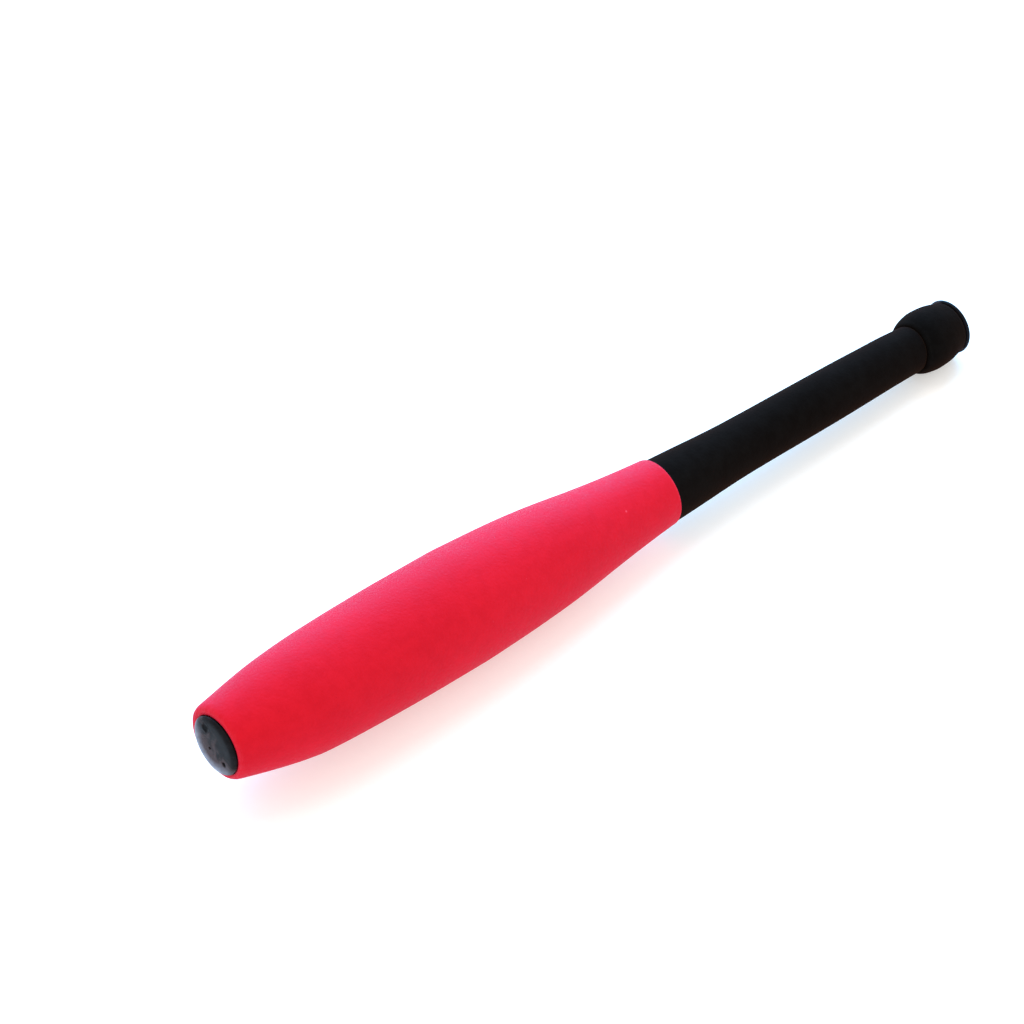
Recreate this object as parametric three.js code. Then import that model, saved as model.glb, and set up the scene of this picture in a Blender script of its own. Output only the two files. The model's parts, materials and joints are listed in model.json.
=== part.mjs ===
// Soft juggling club: a plastic core tube that carries a turned foam body, a foam handle sleeve and a foam knob,
// closed at both ends by the same flanged plug cap.
//
// Units are millimetres, +Z is up. The club lies on its side on the plane z = 0, the way it comes to rest on a
// table: its body and its knob touch the plane, so its axis slopes down a little towards the knob (+X). The origin
// is the centre of the bounding box in X and Y, on the plane.
//
// Every piece is a solid of revolution. Profiles are lists of [station, radius], where station is the distance
// along the club's axis from a plane just in front of the body foam's end.
import * as THREE from "three";

// ---- Driving dimensions (mm) -----------------------------------------------
const BODY_SEAT = 1.0; // station of the body cap's flange: pressed in, it sits in a shallow seat in the foam
const KNOB_SEAT = 494; // station of the knob cap's flange, which stands proud of the knob
const FLANGE_T = 3.0; // thickness of a cap's flange, so the club is 499 long
const FLANGE_R = 15.0; // flange radius, the same on both caps
const FLAT_R = 12.9; // radius of the flat disc on a cap's outer face
const CLEAR = 0.3; // gap left between pieces that touch

const TUBE_R = 10.0; // core tube, outside
const TUBE_WALL = 2.0;
const BORE_R = TUBE_R + CLEAR; // bore of the foam pieces

const PLUG_R = TUBE_R - TUBE_WALL - CLEAR; // ribs of a cap's stem, inside the tube
const PLUG_CORE_R = 6.9; // stem between the ribs
const PLUG_HOLE_R = 4.9; // the stem is a hollow moulding, open at its tip
const PLUG_L = 26;

const SEAM = 279; // where the coloured body meets the black handle
const BODY_R = 30.0; // largest radius of the body
const BODY_SEAM_R = 17.8; // body at the seam, a little proud of the handle
const HANDLE_SEAM_R = 17.1;
const HANDLE_MIN_R = 13.1; // handle at the knob
const KNOB_START = 464.9; // crease between handle and knob
const KNOB_R = 16.9; // largest radius of the knob

const FACETS = 30; // round pieces; one flat faces down, so the club doesn't roll
// The line that touches body and knob on the side it lies on: radius falls by LIE_SLOPE per mm of station.
const LIE_AT = 152; // middle of the body's resting flat
const LIE_R = 29.5;
const LIE_SLOPE = 0.039;
const lieRadius = (s) => LIE_R - LIE_SLOPE * (s - LIE_AT);

// ---- Profiles ----------------------------------------------------------------
// Outside of the turned foam body, from its rounded front end to the seam.
const bodyOuter = [
  [0.3, 16.6],
  [0.5, 17.55],
  [1.1, 18.5],
  [2.4, 19.3],
  [4.8, 20.1],
  [9.3, 21.05],
  [16.2, 22.55],
  [27.9, 24.85],
  [37.0, 26.45],
  [46.4, 27.7],
  [57.5, 28.55],
  [70.0, 29.1],
  [92.0, 29.7],
  [112.0, BODY_R],
  [128.0, BODY_R],
  [144.0, lieRadius(144)],
  [160.0, lieRadius(160)],
  [176.5, 28.35],
  [190.5, 27.35],
  [204.5, 26.05],
  [218.0, 24.35],
  [232.5, 22.4],
  [246.5, 20.75],
  [260.0, 19.35],
  [270.0, 18.45],
  [SEAM - 1.2, BODY_SEAM_R],
  [SEAM - 0.45, BODY_SEAM_R - 0.25],
  [SEAM - CLEAR, BODY_SEAM_R - 0.8],
];

// Outside of the foam handle sleeve, from the seam to the knob.
const handleOuter = [
  [SEAM, HANDLE_SEAM_R],
  [286.0, 16.85],
  [300.5, 16.2],
  [312.0, 15.6],
  [322.0, 15.15],
  [333.5, 14.8],
  [351.0, 14.55],
  [370.0, 14.4],
  [390.0, 14.25],
  [406.0, 14.05],
  [420.0, 13.8],
  [433.5, 13.5],
  [449.0, 13.3],
  [KNOB_START - CLEAR, HANDLE_MIN_R],
];

// Outside of the foam knob, from the crease to the cap.
const knobOuter = [
  [KNOB_START, 13.3],
  [465.3, 14.2],
  [466.3, 15.0],
  [467.9, 15.65],
  [470.0, 16.2],
  [472.8, 16.65],
  [476.0, lieRadius(476)],
  [482.0, lieRadius(482)],
  [485.6, 16.15],
  [488.8, 15.45],
  [491.6, 14.8],
  [493.1, 14.4],
  [KNOB_SEAT - CLEAR, 13.7],
];

// Half of a cap's section: flat outer face, round flange edge, and a ribbed hollow stem. Station 0 is the flange's
// rear face and the stem points along +station.
const cap = [
  [-FLANGE_T, 0],
  [-FLANGE_T, FLAT_R],
  [-FLANGE_T + 0.22, 13.65],
  [-FLANGE_T + 0.65, 14.35],
  [-FLANGE_T + 1.25, 14.85],
  [-FLANGE_T + 1.85, FLANGE_R],
  [-0.6, 14.85],
  [-0.18, 14.5],
  [0, 14.0],
  [0, PLUG_CORE_R],
  [3.0, PLUG_CORE_R],
  [3.8, PLUG_R],
  [5.4, PLUG_R],
  [7.2, PLUG_CORE_R],
  [10.2, PLUG_CORE_R],
  [11.0, PLUG_R],
  [12.6, PLUG_R],
  [14.4, PLUG_CORE_R],
  [17.4, PLUG_CORE_R],
  [18.2, PLUG_R],
  [19.8, PLUG_R],
  [21.6, PLUG_CORE_R],
  [PLUG_L - 1.2, PLUG_CORE_R],
  [PLUG_L, PLUG_CORE_R - 1.0],
  [PLUG_L, PLUG_HOLE_R],
  [1.0, PLUG_HOLE_R],
  [0.2, PLUG_HOLE_R - 0.8],
  [0.2, 0],
];

const coreTube = [
  [BODY_SEAT + CLEAR, TUBE_R - TUBE_WALL],
  [BODY_SEAT + CLEAR, TUBE_R],
  [KNOB_SEAT - CLEAR, TUBE_R],
  [KNOB_SEAT - CLEAR, TUBE_R - TUBE_WALL],
];

// A sleeve's closed section: its outside, then back along the bore.
const sleeve = (outer) => [
  ...outer,
  [outer[outer.length - 1][0], BORE_R],
  [outer[0][0], BORE_R],
];

// The body's section: its outside and bore, and the seat for the cap's flange in its front end.
const bodySection = [
  ...bodyOuter,
  [SEAM - CLEAR, BORE_R],
  [BODY_SEAT + CLEAR, BORE_R],
  [BODY_SEAT + CLEAR, FLANGE_R + CLEAR],
  [0.3, FLANGE_R + CLEAR],
];

// ---- Geometry ----------------------------------------------------------------
// A solid of revolution about the local Y axis. A section that doesn't start on the axis closes on itself.
function turned(section) {
  const points = section.map(([s, r]) => new THREE.Vector2(r, s));
  if (points[0].x > 0) points.push(points[0].clone());
  return new THREE.LatheGeometry(points, FACETS, Math.PI / FACETS);
}

const material = (color, roughness, metalness = 0) =>
  new THREE.MeshStandardMaterial({ color, roughness, metalness });
const redFoam = material(0xdf1e30, 0.72);
const blackFoam = material(0x161617, 0.8);
const capPlastic = material(0x34353a, 0.42);
const tubePlastic = material(0xd9d8d2, 0.45);

const axis = new THREE.Group(); // local +Y runs from the body end to the knob end
function piece(name, section, mat) {
  const mesh = new THREE.Mesh(turned(section), mat);
  mesh.name = name;
  axis.add(mesh);
  return mesh;
}

piece("core_tube", coreTube, tubePlastic);
piece("body_foam", bodySection, redFoam);
piece("handle_foam", sleeve(handleOuter), blackFoam);
piece("knob_foam", sleeve(knobOuter), blackFoam.clone());
const bodyCap = piece("body_end_cap", cap, capPlastic);
bodyCap.position.y = BODY_SEAT;
const knobCap = piece("knob_end_cap", cap, capPlastic.clone());
knobCap.rotation.x = Math.PI; // the same cap, facing the other way
knobCap.position.y = KNOB_SEAT;

// ---- Pose --------------------------------------------------------------------
// The axis goes along +X, tilted so that the body's and the knob's lower flats lie in one plane.
axis.rotation.z = -Math.PI / 2;
const lie = new THREE.Group();
lie.add(axis);
lie.rotation.y = Math.atan(LIE_SLOPE * Math.cos(Math.PI / FACETS));

const club = new THREE.Group();
club.add(lie);
club.updateMatrixWorld(true);
const box = new THREE.Box3().setFromObject(club, true);
lie.position.set(
  -(box.min.x + box.max.x) / 2,
  -(box.min.y + box.max.y) / 2,
  -box.min.z,
);

export default club;
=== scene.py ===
"""Soft juggling club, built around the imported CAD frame. Metres, +Z up.

Each visible foam or plastic piece is remade as a fine turned mesh in the club's own axis frame (local +X from the
body end to the knob end, local Z up, station 0 just in front of the body foam's end), then placed with the position
and direction that the record's two end faces give.
"""

import json
import math

import bmesh
import bpy
import numpy as np
from mathutils import Matrix, Vector, noise


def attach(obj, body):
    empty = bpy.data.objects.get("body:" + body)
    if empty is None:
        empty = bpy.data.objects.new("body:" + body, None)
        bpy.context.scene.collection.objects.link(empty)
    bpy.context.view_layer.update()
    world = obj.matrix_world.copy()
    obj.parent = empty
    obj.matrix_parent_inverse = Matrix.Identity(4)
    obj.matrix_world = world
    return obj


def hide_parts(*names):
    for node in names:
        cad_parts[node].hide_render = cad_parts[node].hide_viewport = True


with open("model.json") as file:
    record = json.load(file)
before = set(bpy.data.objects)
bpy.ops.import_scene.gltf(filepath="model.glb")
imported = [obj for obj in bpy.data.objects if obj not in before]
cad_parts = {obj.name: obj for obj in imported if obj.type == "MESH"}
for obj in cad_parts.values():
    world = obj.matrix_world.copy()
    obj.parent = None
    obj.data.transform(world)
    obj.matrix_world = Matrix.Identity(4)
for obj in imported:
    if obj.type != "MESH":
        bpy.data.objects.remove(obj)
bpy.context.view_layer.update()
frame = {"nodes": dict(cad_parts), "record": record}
RECORD = frame["record"]
scene = bpy.context.scene

# ------------------------------------------------------------------ the club's axis, from the record's mounts
FLANGE_T = 3.0
BODY_SEAT = 1.0  # the body cap is pressed 1 mm into the foam's end
MOUNTS = {m["name"]: m for m in RECORD["mounts"]}
body_face = Vector(MOUNTS["body_end_face"]["pos_m"])
knob_face = Vector(MOUNTS["knob_end_face"]["pos_m"])
AXIS = (knob_face - body_face).normalized()
LENGTH = (knob_face - body_face).length * 1000.0  # mm, over both caps
KNOB_SEAT = LENGTH + BODY_SEAT - 2 * FLANGE_T  # station of the knob cap's flange
SIDE = Vector((0, 0, 1)).cross(AXIS).normalized()
UP = AXIS.cross(SIDE)
ORIGIN = body_face + AXIS * ((FLANGE_T - BODY_SEAT) / 1000.0)
PLACE = Matrix(
    (
        (AXIS.x, SIDE.x, UP.x, ORIGIN.x),
        (AXIS.y, SIDE.y, UP.y, ORIGIN.y),
        (AXIS.z, SIDE.z, UP.z, ORIGIN.z),
        (0, 0, 0, 1),
    )
)

# ------------------------------------------------------------------ camera and floor
# The camera's place relative to station 0 on the club's axis, and its axes, in the row frame.
CAM_FROM_CAP = Vector((-0.601408, -0.869377, 1.073378))
CAM_RIGHT = Vector((0.74344, -0.66881, 0.0)).normalized()
CAM_LOOK = Vector((0.50003, 0.55583, -0.66409)).normalized()
CAM_UP = CAM_RIGHT.cross(CAM_LOOK).normalized()
FOCAL_PX = 3280.8

cam_data = bpy.data.cameras.new("camera")
cam_data.sensor_width = 36.0
cam_data.lens = 36.0 * FOCAL_PX / 1024.0
cam_data.clip_start, cam_data.clip_end = 0.05, 60.0
cam = bpy.data.objects.new("camera", cam_data)
scene.collection.objects.link(cam)
eye = ORIGIN + CAM_FROM_CAP
cam.matrix_world = Matrix(
    (
        (CAM_RIGHT.x, CAM_UP.x, -CAM_LOOK.x, eye.x),
        (CAM_RIGHT.y, CAM_UP.y, -CAM_LOOK.y, eye.y),
        (CAM_RIGHT.z, CAM_UP.z, -CAM_LOOK.z, eye.z),
        (0, 0, 0, 1),
    )
)
scene.camera = cam


# ------------------------------------------------------------------ node helpers
class Mat:
    """A small builder for a procedural material."""

    def __init__(self, name, displayed=(0.5, 0.5, 0.5)):
        self.m = bpy.data.materials.new(name)
        self.m.use_nodes = True
        self.m.diffuse_color = (*displayed, 1.0)
        self.t = self.m.node_tree
        self.t.nodes.clear()
        self.out = self.t.nodes.new("ShaderNodeOutputMaterial")
        self.b = self.t.nodes.new("ShaderNodeBsdfPrincipled")
        self.link(self.b.outputs[0], self.out.inputs[0])
        self.co = self.t.nodes.new("ShaderNodeTexCoord").outputs["Object"]

    def link(self, a, b):
        self.t.links.new(a, b)

    def put(self, socket, value):
        if hasattr(value, "is_linked") or isinstance(value, bpy.types.NodeSocket):
            self.link(value, socket)
        else:
            socket.default_value = value

    def mapping(self, scale=(1, 1, 1), loc=(0, 0, 0), rot=(0, 0, 0), src=None):
        n = self.t.nodes.new("ShaderNodeMapping")
        self.link(src or self.co, n.inputs["Vector"])
        n.inputs["Scale"].default_value = scale
        n.inputs["Location"].default_value = loc
        n.inputs["Rotation"].default_value = rot
        return n.outputs[0]

    def noise(self, scale, detail=2.0, rough=0.5, src=None, distortion=0.0, lac=2.0):
        n = self.t.nodes.new("ShaderNodeTexNoise")
        self.link(src or self.co, n.inputs["Vector"])
        n.inputs["Scale"].default_value = scale
        n.inputs["Detail"].default_value = detail
        n.inputs["Roughness"].default_value = rough
        n.inputs["Lacunarity"].default_value = lac
        n.inputs["Distortion"].default_value = distortion
        return n.outputs[0]

    def voronoi(self, scale, feature="F1", src=None, rand=1.0, out="Distance"):
        n = self.t.nodes.new("ShaderNodeTexVoronoi")
        n.feature = feature
        self.link(src or self.co, n.inputs["Vector"])
        n.inputs["Scale"].default_value = scale
        n.inputs["Randomness"].default_value = rand
        return n.outputs[out]

    def math(self, op, a, b=None, c=None, clamp=False):
        n = self.t.nodes.new("ShaderNodeMath")
        n.operation = op
        n.use_clamp = clamp
        for i, v in enumerate((a, b, c)):
            if v is not None:
                self.put(n.inputs[i], v)
        return n.outputs[0]

    def ramp(self, fac, lo, hi, a=0.0, b=1.0, smooth=True):
        n = self.t.nodes.new("ShaderNodeMapRange")
        n.interpolation_type = "SMOOTHSTEP" if smooth else "LINEAR"
        self.link(fac, n.inputs["Value"])
        for k, v in (("From Min", lo), ("From Max", hi), ("To Min", a), ("To Max", b)):
            n.inputs[k].default_value = v
        return n.outputs["Result"]

    def mix(self, fac, a, b, blend="MIX"):
        n = self.t.nodes.new("ShaderNodeMix")
        n.data_type = "RGBA"
        n.blend_type = blend
        self.put(n.inputs[0], fac)
        for i, v in ((6, a), (7, b)):
            if isinstance(v, (tuple, list)):
                n.inputs[i].default_value = (*v[:3], 1.0)
            else:
                self.link(v, n.inputs[i])
        return n.outputs[2]

    def attr(self, name):
        n = self.t.nodes.new("ShaderNodeAttribute")
        n.attribute_name = name
        return n.outputs["Fac"]

    def bump(self, height, distance, strength=1.0, normal=None):
        n = self.t.nodes.new("ShaderNodeBump")
        n.inputs["Strength"].default_value = strength
        n.inputs["Distance"].default_value = distance
        self.link(height, n.inputs["Height"])
        if normal is not None:
            self.link(normal, n.inputs["Normal"])
        return n.outputs[0]

    def set(self, **kw):
        for k, v in kw.items():
            s = self.b.inputs[k.replace("_", " ")]
            if isinstance(v, (tuple, list)) and s.type == "RGBA":
                s.default_value = (*v[:3], 1.0)
            else:
                self.put(s, v)


def lin(r, g, b):
    """sRGB 0-255 to linear."""
    return tuple(
        (c / 12.92 if c <= 0.04045 else ((c + 0.055) / 1.055) ** 2.4)
        for c in (r / 255, g / 255, b / 255)
    )


# ------------------------------------------------------------------ materials
def foam(name, base, deep, pale, seed, grain, rough, level, tint, sheen, sheen_rough, sheen_tint, rub_at, nick=None):
    """Ground closed-cell foam: fine cut cells over a soft pebbled unevenness, rubbed a little along its edges."""
    m = Mat(name, base)
    at = m.mapping(loc=(seed, seed * 0.37, seed * 0.61))
    cloud = m.noise(20.0, 3.0, 0.55, at)
    mottle = m.noise(170.0, 3.0, 0.6, at)
    pebble = m.noise(640.0, 2.0, 0.5, at)
    grit = m.noise(1700.0, 2.0, 0.7, at)
    cells = m.voronoi(2300.0, src=at)
    pores = m.voronoi(820.0, src=at)
    # colour: broad cloud, small mottle, darker open cells and pores, pale rubbed edge, a little dust
    tone = m.math(
        "ADD",
        m.math("MULTIPLY", m.ramp(cloud, 0.32, 0.68, -1, 1), 0.45),
        m.math("MULTIPLY", m.ramp(mottle, 0.32, 0.68, -1, 1), 0.55),
    )
    col = m.mix(m.ramp(tone, -1.0, 1.0, 0.0, 1.0, smooth=False), deep, base)
    col = m.mix(m.ramp(cells, 0.0, 0.35, 0.22 * grain, 0.0), col, deep)
    gate = m.ramp(m.noise(260.0, 1.0, 0.5, at), 0.5, 0.6)
    pore = m.math("MULTIPLY", m.ramp(pores, 0.05, 0.16, 1.0, 0.0), gate)
    col = m.mix(m.math("MULTIPLY", pore, 0.5), col, tuple(c * 0.55 for c in deep))
    rub = m.math("MULTIPLY", m.attr("edge_wear_and_highlight"), m.ramp(m.noise(430.0, 4.0, 0.7, at), 0.36, 0.62, 0.15, 1.0))
    col = m.mix(m.math("MULTIPLY", rub, rub_at), col, pale)
    dust = m.voronoi(150.0, src=at)
    here = m.ramp(m.noise(38.0, 1.0, 0.5, at), 0.60, 0.66)
    speck = m.math("MULTIPLY", m.ramp(dust, 0.03, 0.055, 1.0, 0.0), here)
    col = m.mix(m.math("MULTIPLY", speck, 0.4), col, pale)
    if nick:  # one small fresh nick, where the skin shows paler
        d = m.t.nodes.new("ShaderNodeVectorMath")
        d.operation = "DISTANCE"
        m.link(m.co, d.inputs[0])
        d.inputs[1].default_value = nick
        away = m.math("ADD", d.outputs["Value"], m.math("MULTIPLY", m.ramp(mottle, 0.3, 0.7, -0.5, 0.5), 0.0006))
        col = m.mix(m.ramp(away, 0.0004, 0.0011, 0.75, 0.0), col, pale)
    # painted shade: the foam is darkened towards its deep tone in the creases marked where the pieces are made (seam,
    # cap seat, neck joint)
    col = m.mix(m.attr("crease_shade"), col, tuple(c * 0.3 for c in deep))
    wet = m.math("ADD", m.ramp(mottle, 0.3, 0.7, rough - 0.05, rough + 0.05), m.math("MULTIPLY", rub, -0.08))
    wet = m.math("ADD", wet, m.math("MULTIPLY", pore, 0.12))
    fine = m.math(
        "ADD",
        m.math("MULTIPLY", m.ramp(cells, 0.0, 0.45, 0.0, 1.0), 0.6),
        m.math("MULTIPLY", grit, 0.6),
    )
    n1 = m.bump(m.noise(75.0, 2.0, 0.5, at), 0.00030, 0.6)
    n2 = m.bump(pebble, 0.00016 * grain, 1.0, n1)
    n3 = m.bump(m.math("SUBTRACT", 1.0, pore), 0.00006, 0.8, n2)
    n4 = m.bump(fine, 0.000030 * grain, 1.0, n3)
    m.set(Base_Color=col, Roughness=wet, Normal=n4)
    m.b.inputs["Specular IOR Level"].default_value = level
    m.b.inputs["Specular Tint"].default_value = (*tint, 1.0)
    m.b.inputs["Sheen Weight"].default_value = sheen
    m.b.inputs["Sheen Roughness"].default_value = sheen_rough
    m.b.inputs["Sheen Tint"].default_value = (*sheen_tint, 1.0)
    return m.m


RED = foam(
    "red_eva_foam",
    base=(0.668, 0.0085, 0.0170),
    deep=(0.598, 0.0066, 0.0134),
    pale=(0.85, 0.09, 0.13),
    seed=3.1,
    grain=1.3,
    rough=0.50,
    level=0.024,
    tint=(0.30, 0.45, 1.0),
    sheen=0.070,
    sheen_rough=0.60,
    sheen_tint=(0.12, 0.42, 1.0),
    rub_at=0.22,
    nick=(-0.00375, -0.01379, 0.04209),
)
BLACK = foam(
    "black_eva_foam",
    base=(0.0046, 0.0046, 0.0044),
    deep=(0.0027, 0.0027, 0.0026),
    pale=(0.030, 0.027, 0.024),
    seed=7.7,
    grain=1.1,
    rough=0.66,
    level=0.0015,
    tint=(1.0, 0.60, 0.40),
    sheen=0.038,
    sheen_rough=0.5,
    sheen_tint=(1.0, 0.34, 0.15),
    rub_at=0.30,
)


def cap_plastic():
    """Moulded near-black plastic with a satin face, scuffed and dusty. Painted shade darkens the face towards its
    upper side and painted light brightens it towards the lower side, where dust and scratches are heavier and a
    painted light-blue highlight runs along the rim; the pits and the flange's rim near the ground are painted dark as
    shade.
    """
    base, shade_tone, dust = (0.048, 0.0290, 0.0300), (0.0040, 0.0028, 0.0028), (0.165, 0.135, 0.145)
    m = Mat("scuffed_dark_plastic", base)
    cloud = m.noise(95.0, 3.0, 0.6, distortion=0.8)
    blotch = m.noise(260.0, 5.0, 0.68, distortion=0.5)
    grit = m.noise(1500.0, 3.0, 0.7)
    # painted light and shade: the face is darker towards its upper side and lighter towards its lower side, mottled
    # by cloud noise
    low = m.math("ADD", m.attr("painted_light_side"), m.math("MULTIPLY", m.ramp(cloud, 0.3, 0.7, -0.5, 0.5), 0.50))
    col = m.mix(m.ramp(low, 0.255, 0.645), shade_tone, base)
    # dust blotches, laid heavier on the side painted lighter
    col = m.mix(m.math("MULTIPLY", m.ramp(blotch, 0.44, 0.68), m.ramp(low, 0.35, 0.90, 0.02, 0.34)), col, dust)
    # fine scratches in three directions across the face
    scr = None
    for rot, off in ((0.5, 1.3), (-0.9, 5.2), (1.7, 9.4)):
        src = m.mapping(scale=(120, 28, 1500), rot=(rot, 0, 0), loc=(off, off, off))
        one = m.ramp(m.noise(1.0, 2.0, 0.6, src), 0.665, 0.74)
        scr = one if scr is None else m.math("MAXIMUM", scr, one)
    scr = m.math("MULTIPLY", scr, m.ramp(m.noise(60.0, 2.0), 0.45, 0.6))
    # the scratches are stronger on the side painted lighter
    col = m.mix(m.math("MULTIPLY", scr, m.ramp(low, 0.2, 0.8, 0.15, 0.5)), col, dust)
    # painted highlight: a pale blue band along the rim, strongest on the side painted lighter
    rim = m.math("MULTIPLY", m.attr("edge_wear_and_highlight"), m.ramp(blotch, 0.32, 0.58, 0.60, 1.0))
    rim = m.math("MULTIPLY", rim, m.ramp(m.attr("painted_light_side"), 0.38, 0.88, 0.01, 1.0))
    col = m.mix(rim, col, (0.400, 0.440, 0.550))
    xyz = m.t.nodes.new("ShaderNodeSeparateXYZ")  # painted shade below the flange, where it nearly touches the ground
    m.link(m.co, xyz.inputs[0])
    flange_shade = m.math("MULTIPLY", m.attr("crease_shade"), m.ramp(xyz.outputs[2], 0.0235, 0.0330, 0.95, 0.0))
    col = m.mix(flange_shade, col, (0.010, 0.010, 0.014))
    # painted shade: the pits darkened to near black
    col = m.mix(m.attr("pit"), col, (0.002, 0.002, 0.0022))
    rough = m.math("ADD", m.ramp(blotch, 0.3, 0.7, 0.28, 0.48), m.math("MULTIPLY", scr, 0.12))
    rough = m.math("ADD", rough, m.math("MULTIPLY", m.attr("pit"), 0.4))
    n1 = m.bump(cloud, 0.00022, 0.8)
    n2 = m.bump(blotch, 0.00003, 0.8, n1)
    n3 = m.bump(grit, 0.000012, 0.8, n2)
    n4 = m.bump(m.math("SUBTRACT", 1.0, scr), 0.00002, 0.6, n3)
    m.set(Base_Color=col, Roughness=rough, Normal=n4)
    m.b.inputs["Specular IOR Level"].default_value = 0.045
    return m.m


CAP = cap_plastic()


def tube_plastic():
    """Extruded tube, hidden inside: pale plastic with faint draw lines and dried glue."""
    m = Mat("extruded_tube_plastic", lin(214, 212, 205))
    along = m.mapping(scale=(6, 900, 900))
    lines = m.noise(1.0, 3.0, 0.6, along)
    glue = m.noise(45.0, 4.0, 0.6, distortion=0.6)
    col = m.mix(m.ramp(lines, 0.35, 0.65), lin(205, 203, 196), lin(222, 220, 213))
    col = m.mix(m.math("MULTIPLY", m.ramp(glue, 0.55, 0.68), 0.6), col, lin(190, 172, 120))
    m.set(
        Base_Color=col,
        Roughness=m.ramp(glue, 0.5, 0.7, 0.42, 0.25),
        Normal=m.bump(glue, 0.0002, 0.4, m.bump(lines, 0.00002, 0.5)),
    )
    return m.m


TUBE = tube_plastic()

# ------------------------------------------------------------------ profiles (mm: station, radius)
LIE_SLOPE, LIE_AT, LIE_R = 0.039, 152.0, 29.5


def lie_radius(s):
    return LIE_R - LIE_SLOPE * (s - LIE_AT)


BORE_R = 10.35

SEAT_R = 15.3
body_front = [  # rounded front end
    (-0.2, 15.6),
    (-0.2, 16.7),
    (0.0, 17.6),
    (0.55, 18.4),
    (1.9, 19.15),
    (4.5, 19.8),
    (9.1, 20.8),
    (16.2, 22.35),
    (27.9, 24.7),
    (37.0, 26.2),
    (46.4, 27.35),
    (57.5, 28.15),
    (70.0, 28.7),
    (92.0, 29.32),
    (112.0, 29.65),
    (128.0, 29.68),
    (144.0, lie_radius(144) - 0.12),
    (160.0, lie_radius(160) - 0.05),
    (176.5, 28.3),
    (190.5, 27.35),
    (204.5, 26.1),
    (218.0, 24.5),
    (232.5, 22.6),
    (246.5, 20.98),
    (260.0, 19.6),
    (270.0, 18.72),
    (276.5, 18.2),
]
body_back = [  # a crisp ground edge at the seam, very slightly rolled
    (277.7, 18.12),
    (278.3, 18.05),
    (278.55, 17.9),
    (278.66, 17.65),
    (278.70, 17.3),
    (278.70, 16.2),
]
handle_outer = [
    (279.0, 16.2),
    (279.02, 16.75),
    (279.2, 17.0),
    (279.7, 17.1),
    (286.0, 16.85),
    (300.5, 16.2),
    (312.0, 15.6),
    (322.0, 15.15),
    (333.5, 14.8),
    (351.0, 14.55),
    (370.0, 14.4),
    (390.0, 14.25),
    (406.0, 14.05),
    (420.0, 13.8),
    (433.5, 13.48),
    (449.0, 13.2),
    (458.0, 12.95),
    (463.0, 12.82),
    (464.1, 12.7),
    (464.5, 12.45),
    (464.6, 11.9),
]
knob_outer = [
    (464.9, 11.9),
    (464.9, 12.75),
    (465.0, 13.2),
    (465.4, 13.85),
    (466.3, 14.6),
    (467.9, 15.4),
    (470.1, 16.05),
    (472.8, 16.55),
    (476.0, lie_radius(476)),
    (482.0, lie_radius(482)),
    (485.6, 16.15),
    (488.8, 15.45),
    (491.6, 14.8),
    (493.1, 14.4),
    (493.6, 14.0),
    (493.7, 13.0),
]


def smooth_chain(points, step, limit=0.35):
    """A dense curve through the points: centripetal-like monotone tangents on both coordinates by arc length."""
    p = np.array(points, float)
    seg = np.linalg.norm(np.diff(p, axis=0), axis=1)
    t = np.concatenate([[0], np.cumsum(np.sqrt(seg))])
    out = []
    tan = np.zeros_like(p)
    for c in range(2):
        d = np.diff(p[:, c]) / np.diff(t)
        h = np.diff(t)
        for i in range(1, len(p) - 1):
            if d[i - 1] * d[i] <= 0:
                tan[i, c] = 0
            else:
                w1, w2 = 2 * h[i] + h[i - 1], h[i] + 2 * h[i - 1]
                tan[i, c] = (w1 + w2) / (w1 / d[i - 1] + w2 / d[i])
        tan[0, c], tan[-1, c] = d[0], d[-1]
    for i in range(len(p) - 1):
        n = max(1, int(math.ceil(seg[i] / step)))
        h = t[i + 1] - t[i]
        for k in range(n):
            x = k / n
            h00, h10 = 2 * x**3 - 3 * x**2 + 1, x**3 - 2 * x**2 + x
            h01, h11 = -2 * x**3 + 3 * x**2, x**3 - x**2
            out.append(
                h00 * p[i] + h10 * h * tan[i] + h01 * p[i + 1] + h11 * h * tan[i + 1]
            )
    out.append(p[-1])
    return np.array(out)


def interp_profile(points, step):
    return smooth_chain(points, step)


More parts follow.
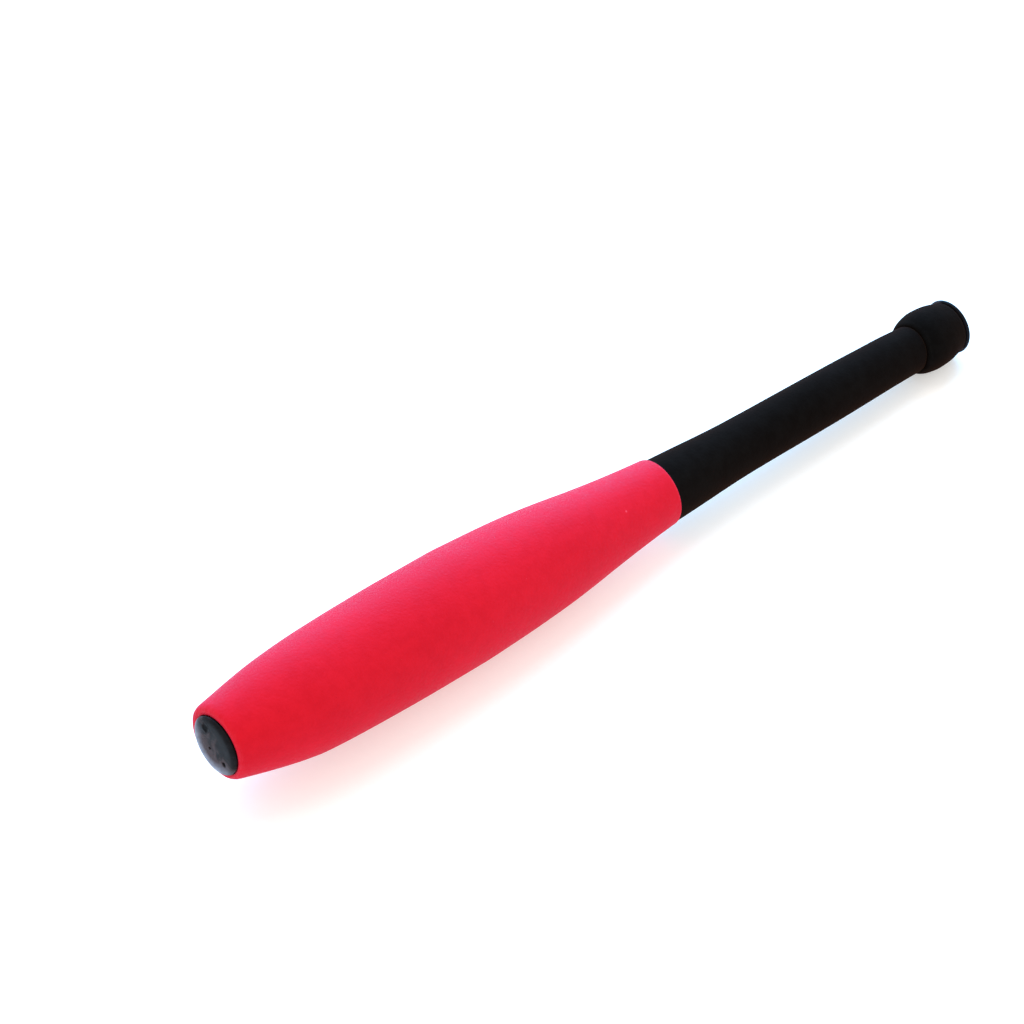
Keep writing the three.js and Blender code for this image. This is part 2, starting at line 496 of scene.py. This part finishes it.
def turned(name, chain, segments, closed, material, node, edges=(), creases=(), pits=(), wobble=0.0, seed=0.0, rest=True, drift=None, lean=None, painted_light_dir=None):
    """A lathe of the (station, radius) chain in mm, made ring by ring. closed joins the last ring to the first; an
    open chain must start and end on the axis. edges and creases are (station, radius, reach, amount) in mm and mark
    vertices for the material: edges for rubbed wear on the foam and a painted highlight on the caps' rims, creases
    for painted shade; pits are (y, z, radius, depth, sign) dents in the face at the chain's low end."""
    chain = np.asarray(chain, float)
    bm = bmesh.new()
    el = bm.verts.layers.float.new("edge_wear_and_highlight")
    shade_layer = bm.verts.layers.float.new("crease_shade")
    pl = bm.verts.layers.float.new("pit")
    sl = bm.verts.layers.float.new("painted_light_side") if painted_light_dir else None
    ang = np.linspace(0, 2 * math.pi, segments, endpoint=False)
    cs, sn = np.cos(ang), np.sin(ang)
    rings = []
    low = None
    if rest:
        # station s, height z of the resting plane in the local frame: world z of (s, y, z) is zero
        low = lambda s: (-ORIGIN.z * 1000.0 - s * AXIS.z) / UP.z
    for s, r in chain:
        if r < 1e-6:
            v = bm.verts.new((s / 1000, 0, 0))
            rings.append([v])
            e = c = 0.0
            for es, er, reach, amount in edges:
                e = max(e, amount * max(0.0, 1 - math.hypot(s - es, r - er) / reach))
            v[el] = e
            continue
        ring = []
        dy, dz = drift(s, r) if drift else (0.0, 0.0)
        e = c = 0.0
        for es, er, reach, amount in edges:
            e = max(e, amount * max(0.0, 1 - math.hypot(s - es, r - er) / reach))
        for es, er, reach, amount in creases:
            c = max(c, amount * max(0.0, 1 - math.hypot(s - es, r - er) / reach))
        for k in range(segments):
            rr = r
            if wobble and r > 11.5:
                q = Vector((s * 0.012 + seed, cs[k] * r * 0.02, sn[k] * r * 0.02))
                rr += wobble * noise.noise(q) + 0.35 * wobble * noise.noise(q * 3.3)
            x, y, z = s, rr * cs[k] + dy, rr * sn[k] + dz
            if lean and r > 10.8:
                x += lean(s, sn[k]) * min(1.0, (r - 10.8) / 1.2)
            if low is not None and r > 11.5:
                floor = low(x) + 0.01
                if z < floor + 0.25:
                    # foam gives a little where it rests: a soft blend into the flat
                    d = z - floor
                    z = floor + (0.0 if d < -0.25 else (d + 0.25) ** 2 / 1.0)
            v = bm.verts.new((x / 1000, y / 1000, z / 1000))
            v[el], v[shade_layer] = e, c
            ring.append(v)
        rings.append(ring)
    n = len(rings)
    for i in range(n if closed else n - 1):
        a, b = rings[i], rings[(i + 1) % n]
        for k in range(segments):
            j = (k + 1) % segments
            if len(a) == 1 and len(b) == 1:
                continue
            if len(a) == 1:
                bm.faces.new((a[0], b[j], b[k]))
            elif len(b) == 1:
                bm.faces.new((a[k], a[j], b[0]))
            else:
                bm.faces.new((a[k], a[j], b[j], b[k]))
    for py, pz, pr, depth, sign, below in pits:
        for v in bm.verts:
            x, y, z = (c * 1000 for c in v.co)
            if (x - below) * sign > 0:
                continue
            d = math.hypot(y - py, z - pz)
            d *= 1.0 + 0.35 * noise.noise(Vector((y * 1.1, z * 1.1, py)))
            if d < pr * 1.8:
                w = 1 / (1 + math.exp((d - pr) * 9 / pr))
                v.co.x += sign * depth * w / 1000
                lip = math.exp(-(((d - pr * 1.3) / (pr * 0.22)) ** 2))
                v.co.x -= sign * 0.06 * lip / 1000
                v[pl] = max(v[pl], min(1.0, w * 1.2) * min(1.0, depth / 0.5))
    # painted light side: 1 towards the given direction, where the caps are painted lighter, 0 away from it, where
    # they are painted in shade
    if painted_light_dir:
        for v in bm.verts:
            across = (painted_light_dir[0] * v.co.y + painted_light_dir[1] * v.co.z) * 1000 / 15.0
            v[sl] = min(1.0, max(0.0, 0.5 + 0.5 * across))
    bmesh.ops.recalc_face_normals(bm, faces=bm.faces)
    bm.transform(PLACE)
    me = bpy.data.meshes.new(name)
    bm.to_mesh(me)
    bm.free()
    for p in me.polygons:
        p.use_smooth = True
    me.materials.append(material)
    o = bpy.data.objects.new(name, me)
    scene.collection.objects.link(o)
    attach(o, "root")
    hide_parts(node)
    return o


def sleeve_chain(outer_chain, step_in, seat=None):
    """Closes an outer curve through its two end faces and the bore. seat is a recess in the first end: how deep its
    floor is (station) and its radius."""
    s0, r0 = outer_chain[0]
    s1, r1 = outer_chain[-1]
    end = [(s1, r1 + (BORE_R - r1) * k / 5) for k in range(1, 6)]
    if seat:
        floor, rim = seat
        n = max(2, int((s1 - floor) / step_in))
        bore = [(s1 + (floor - s1) * k / n, BORE_R) for k in range(1, n + 1)]
        ledge = [(floor, BORE_R + (rim - BORE_R) * k / 5) for k in range(1, 6)]
        wall = [(floor + (s0 + 0.15 - floor) * k / 4, rim) for k in range(1, 5)]
        return np.array(list(map(tuple, outer_chain)) + end + bore + ledge + wall)
    n = max(2, int((s1 - s0) / step_in))
    bore = [(s1 + (s0 - s1) * k / n, BORE_R) for k in range(1, n + 1)]
    start = [(s0, BORE_R + (r0 - BORE_R) * k / 5) for k in range(1, 5)]
    return np.array(list(map(tuple, outer_chain)) + end + bore + start)


# How far the ground foam's middle wanders off the tube's axis: station, local y, local z (mm).
DRIFT = np.array(
    [
        (0.0, 0.90, 0.05),
        (10.0, 0.35, 0.10),
        (25.0, -0.05, 0.0),
        (45.0, -0.45, -0.25),
        (75.0, -0.15, -0.10),
        (110.0, 0.15, 0.0),
        (150.0, 0.50, 0.0),
        (185.0, 0.45, 0.0),
        (225.0, 0.10, 0.0),
        (250.0, 0.15, 0.05),
        (279.0, 0.25, 0.15),
    ]
)


def drift(s, r):
    """The wander at a station; none in the bore, nor at the seat's rim, which follows the cap."""
    if r <= 15.5:
        return 0.0, 0.0
    w = min(1.0, max(0.0, (r - 15.5) / 1.6)) if s < 3.0 else 1.0
    w = w * w * (3 - 2 * w)
    if s > 278.0:
        w *= min(1.0, max(0.0, (r - 16.2) / 1.2))
    return (
        w * float(np.interp(s, DRIFT[:, 0], DRIFT[:, 1])),
        w * float(np.interp(s, DRIFT[:, 0], DRIFT[:, 2])),
    )


def neck_drift(s, r):
    """The grip sags a little off the tube just before the knob; none in the bore."""
    w = math.exp(-(((s - 463.0) / 9.5) ** 2)) * min(1.0, max(0.0, (r - 10.9) / 1.2))
    return 0.0, -0.5 * w


def neck_lean(s, up):
    """The joint between grip and knob is cut a little out of square; up is -1 below and 1 above."""
    return 1.6 * math.exp(-(((s - 465.5) / 6.5) ** 2)) * (up if up > 0 else 0.3 * up)


# ------------------------------------------------------------------ the pieces
body = turned(
    "red_body_foam",
    sleeve_chain(smooth_chain(body_front + body_back, 1.6), 12.0, seat=(BODY_SEAT + 0.3, SEAT_R)),
    256,
    True,
    RED,
    "body_foam",
    edges=[(278.4, 17.95, 0.9, 0.6), (0.3, 17.8, 2.4, 0.5)],
    # creases: painted shade at the seam and at the cap's seat
    creases=[(278.7, 16.6, 0.7, 0.9), (1.2, 15.3, 0.9, 0.9)],
    wobble=0.14,
    seed=2.4,
    drift=drift,
)
handle = turned(
    "black_handle_foam",
    sleeve_chain(smooth_chain(handle_outer, 1.4), 10.0),
    192,
    True,
    BLACK,
    "handle_foam",
    edges=[(279.3, 17.0, 0.8, 0.5)],
    # creases: painted shade at the neck's joint and at the seam
    creases=[(464.6, 12.3, 0.7, 0.4), (279.0, 16.4, 0.6, 0.9)],
    wobble=0.12,
    seed=11.3,
    drift=neck_drift,
    lean=neck_lean,
)
knob = turned(
    "black_knob_foam",
    sleeve_chain(smooth_chain(knob_outer, 0.7), 6.0),
    192,
    True,
    BLACK,
    "knob_foam",
    edges=[(466.0, 14.9, 1.4, 0.3), (492.8, 14.4, 1.6, 0.4)],
    # creases: painted shade at the neck's joint
    creases=[(464.9, 12.6, 0.8, 0.4)],
    wobble=0.12,
    seed=19.1,
    drift=neck_drift,
    lean=neck_lean,
)


cap_face = [  # flat middle, rounded edge, flat rear face; 0 is the flange's rear face
    (-3.0, 0.0),
    (-3.0, 4.0),
    (-2.99, 8.0),
    (-2.96, 11.0),
    (-2.88, 12.6),
    (-2.68, 13.6),
    (-2.30, 14.40),
    (-1.78, 14.97),
    (-1.20, 15.20),
    (-0.62, 15.05),
    (-0.22, 14.65),
    (0.0, 14.15),
    (0.02, 13.5),
]
stem = [
    (0.03, 7.6),
    (0.3, 6.95),
    (3.0, 6.9),
    (3.8, 7.65),
    (5.4, 7.65),
    (7.2, 6.9),
    (10.2, 6.9),
    (11.0, 7.65),
    (12.6, 7.65),
    (14.4, 6.9),
    (17.4, 6.9),
    (18.2, 7.65),
    (19.8, 7.65),
    (21.6, 6.9),
    (24.8, 6.9),
    (26.0, 5.9),
    (26.0, 4.95),
    (1.0, 4.9),
    (0.2, 4.1),
    (0.2, 0.0),
]


def polyline(points, step):
    out = []
    for (s0, r0), (s1, r1) in zip(points, points[1:]):
        n = max(1, int(math.ceil(math.hypot(s1 - s0, r1 - r0) / step)))
        out += [(s0 + (s1 - s0) * k / n, r0 + (r1 - r0) * k / n) for k in range(n)]
    return np.array(out + [points[-1]])


cap_chain = np.concatenate([smooth_chain(cap_face, 0.22), polyline(stem, 1.2)])


def cap_piece(name, node, seat, facing, pits):
    """A plug cap whose flange's rear face is at the seat; facing is -1 on the body end and 1 on the knob end. Each
    pit is local y and z, radius and depth (mm)."""
    chain = np.array([(seat - facing * s if facing > 0 else seat + s, r) for s, r in cap_chain])
    return turned(
        name,
        chain,
        256,
        False,
        CAP,
        node,
        # edges mark the rim for the painted highlight, wider and stronger on the body cap
        edges=[(seat + facing * 2.3, 14.8, 7.0 if facing < 0 else 3.0, 1.0 if facing < 0 else 0.25)],
        # creases mark the flange's rim, darkened by painted shade where it nearly touches the ground
        creases=[(seat + facing * 1.5, 15.2, 2.6, 1.0)],
        pits=[(y, z, r, depth, -facing, seat + facing * 2.2) for y, z, r, depth in pits],
        rest=False,
        # the direction towards which the caps are painted lighter; away from it they are painted in shade
        painted_light_dir=(0.53, -0.85),
    )


body_cap = cap_piece(
    "body_end_cap_plastic",
    "body_end_cap",
    BODY_SEAT - 0.75,  # not quite pressed home
    -1.0,
    [(5.3, 8.4, 2.1, 0.34), (2.4, -2.2, 0.66, 0.7), (-7.8, -5.4, 1.15, 0.7)],
)
knob_cap = cap_piece(
    "knob_end_cap_plastic",
    "knob_end_cap",
    KNOB_SEAT,
    1.0,
    [(-3.6, 8.9, 0.8, 0.5), (4.4, 6.2, 0.62, 0.6), (3.1, -4.6, 0.75, 0.7)],
)

# the hidden tube keeps its CAD mesh and gets its own material
tube = frame["nodes"]["core_tube"]
tube.data.materials.clear()
tube.data.materials.append(TUBE)

# ------------------------------------------------------------------ floor and light
fm = Mat("white_paper_floor", (0.9, 0.9, 0.9))
paper = fm.noise(300.0, 3.0, 0.6)
fm.set(
    Base_Color=fm.mix(fm.ramp(paper, 0.3, 0.7), (0.655, 0.630, 0.598), (0.675, 0.650, 0.618)),
    Roughness=0.75,
)
fm.b.inputs["Specular IOR Level"].default_value = 0.03
fm.b.inputs["Emission Color"].default_value = (1, 0.99, 0.97, 1)  # a softly lit white table
fm.b.inputs["Emission Strength"].default_value = 0.46
me = bpy.data.meshes.new("floor")
H = 12.0
me.from_pydata(
    [(-H, -H, -0.00005), (H, -H, -0.00005), (H, H, -0.00005), (-H, H, -0.00005)], [], [(0, 1, 2, 3)]
)
me.materials.append(fm.m)
floor = bpy.data.objects.new("floor", me)
scene.collection.objects.link(floor)

world = bpy.data.worlds.new("studio")
scene.world = world
world.use_nodes = True
wt = world.node_tree
bg = wt.nodes["Background"]
bg.inputs["Color"].default_value = (1, 1, 1, 1)
bg.inputs["Strength"].default_value = 1.02


def area(name, at, target, size, power, color=(1, 1, 1), size_y=None):
    d = bpy.data.lights.new(name, "AREA")
    d.shape = "RECTANGLE"
    d.size, d.size_y = size, size_y or size
    d.energy = power
    d.color = color
    o = bpy.data.objects.new(name, d)
    scene.collection.objects.link(o)
    o.location = at
    o.rotation_euler = (Vector(target) - Vector(at)).to_track_quat("-Z", "Y").to_euler()
    o.visible_camera = False
    return o


behind = Vector((CAM_LOOK.x, CAM_LOOK.y, 0)).normalized()
right = Vector(CAM_RIGHT)
cool = (0.09, 0.465, 0.92)
area("back_softbox", behind * 1.5 - right * 0.1 + Vector((0, 0, 0.55)), (0, 0, 0.03), 2.4, 72.0, cool, 0.9)
area("back_high_softbox", behind * 1.2 - right * 0.1 + Vector((0, 0, 1.3)), (0, 0, 0.03), 2.0, 64.0, cool, 1.0)
area("key_softbox", Vector((0.10, 0.55, 2.35)), (0, 0, 0), 1.1, 14.0, (1.0, 0.95, 0.92), 1.1)

scene.view_settings.view_transform = "Standard"
scene.view_settings.look = "None"
